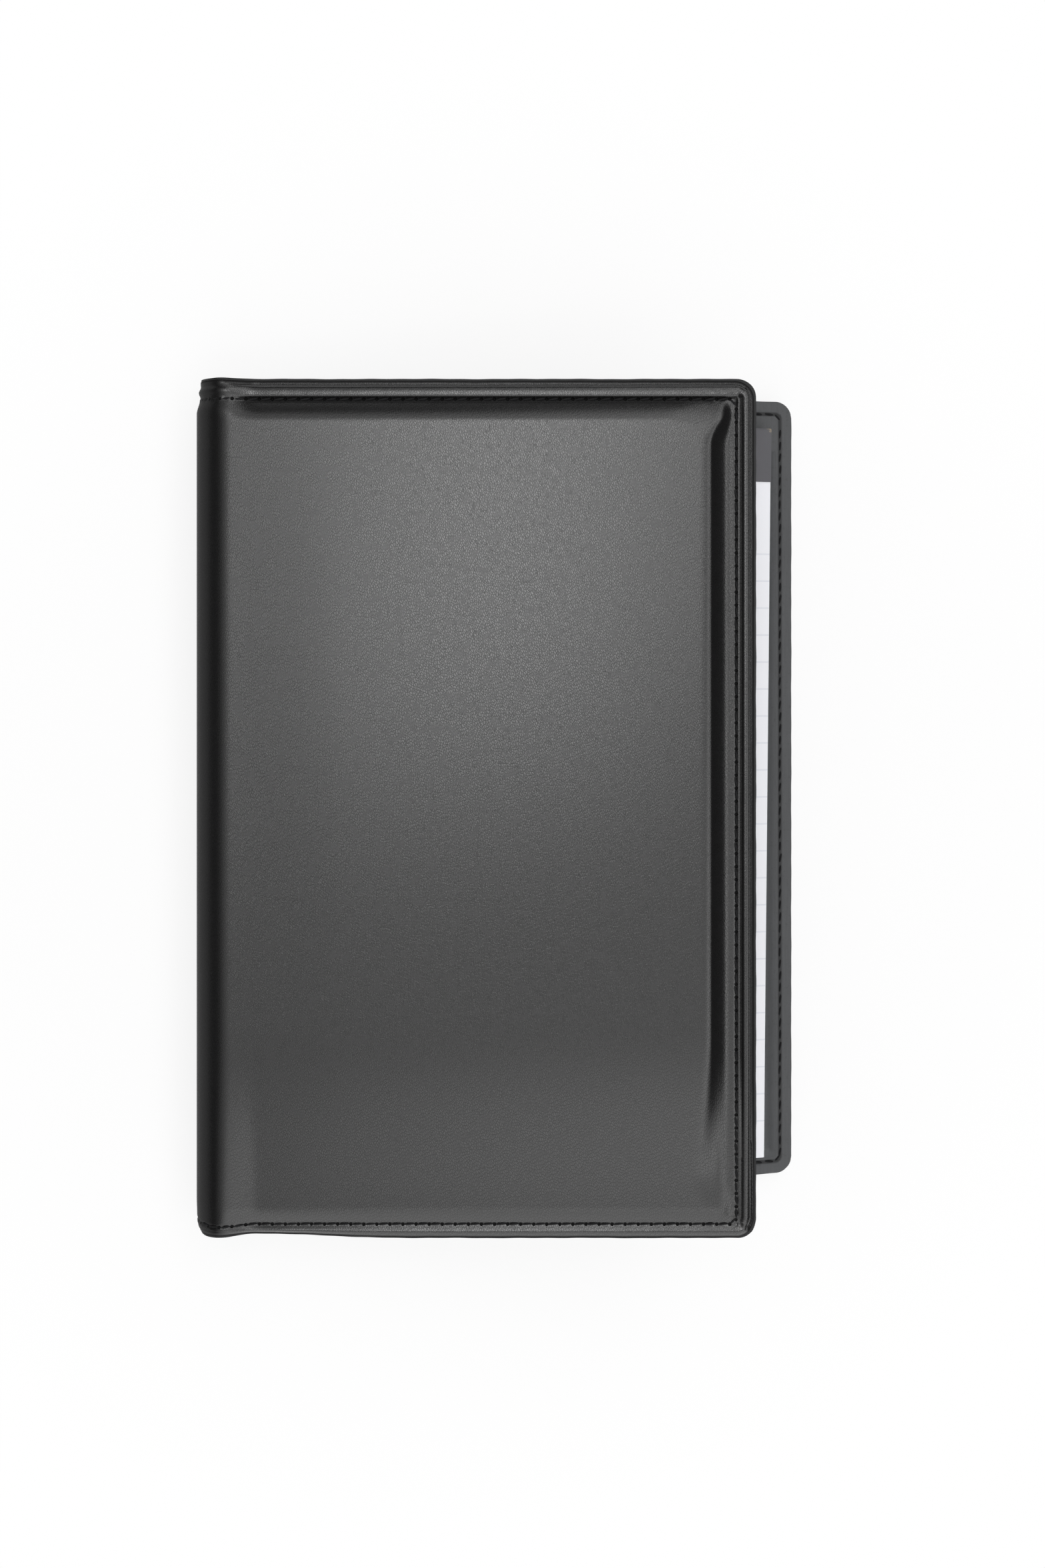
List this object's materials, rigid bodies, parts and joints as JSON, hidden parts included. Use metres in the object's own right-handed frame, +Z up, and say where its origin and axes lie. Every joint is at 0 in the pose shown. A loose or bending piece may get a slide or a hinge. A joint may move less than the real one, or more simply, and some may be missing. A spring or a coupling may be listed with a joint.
{
  "type": "padfolio",
  "caption": "Black padded leatherette padfolio, sprung open a little round its soft spine, with a ruled white writing pad in its rear pocket.",
  "frame": {"origin": "middle of the flat underside of the rear cover, on the surface that it lies on", "axes": "+X from the spine to the free edge, +Y to the head of the covers, +Z up"},
  "size_m": [0.174, 0.23, 0.0515],
  "materials": {
    "leatherette": "satin",
    "foam": "matte",
    "board": "matte",
    "lining": "matte",
    "thread": "satin",
    "elastic": "matte",
    "card": "matte",
    "paper": "matte",
    "tape": "matte"
  },
  "bodies": {
    "rear_cover": {"rear_skin": "leatherette", "rear_foam": "foam", "rear_board": "board", "rear_lining": "lining", "rear_stitching": "thread", "pad_pocket": "lining", "pen_loop": "elastic"},
    "spine": {"spine_skin": "leatherette", "spine_foam": "foam", "spine_lining": "lining", "spine_stitching": "thread"},
    "front_cover": {"front_skin": "leatherette", "front_foam": "foam", "front_board": "board", "front_lining": "lining", "front_stitching": "thread", "document_pocket": "lining", "card_pocket_lower": "lining", "card_pocket_upper": "lining", "pocket_stitching": "thread"},
    "pad": {"pad_card": "card", "pad_sheets": "paper", "pad_header": "tape"}
  },
  "joints": [
    {"name": "rear_crease", "type": "hinge", "parent": "rear_cover", "child": "spine", "pos_m": [-0.08937, 0, 0.0019], "axis": [0, -1, 0], "range_deg": [-7, 83]},
    {"name": "front_crease", "type": "hinge", "parent": "spine", "child": "front_cover", "pos_m": [-0.09122, 0, 0.017], "axis": [0, -1, 0], "range_deg": [-7, 83]},
    {"name": "pad_slide", "type": "slide", "parent": "rear_cover", "child": "pad", "axis": [0, 1, 0], "range_m": [0, 0.21]}
  ],
  "couplings": [
    {"joint": "front_crease", "follows": "rear_crease", "ratio": 1}
  ]
}
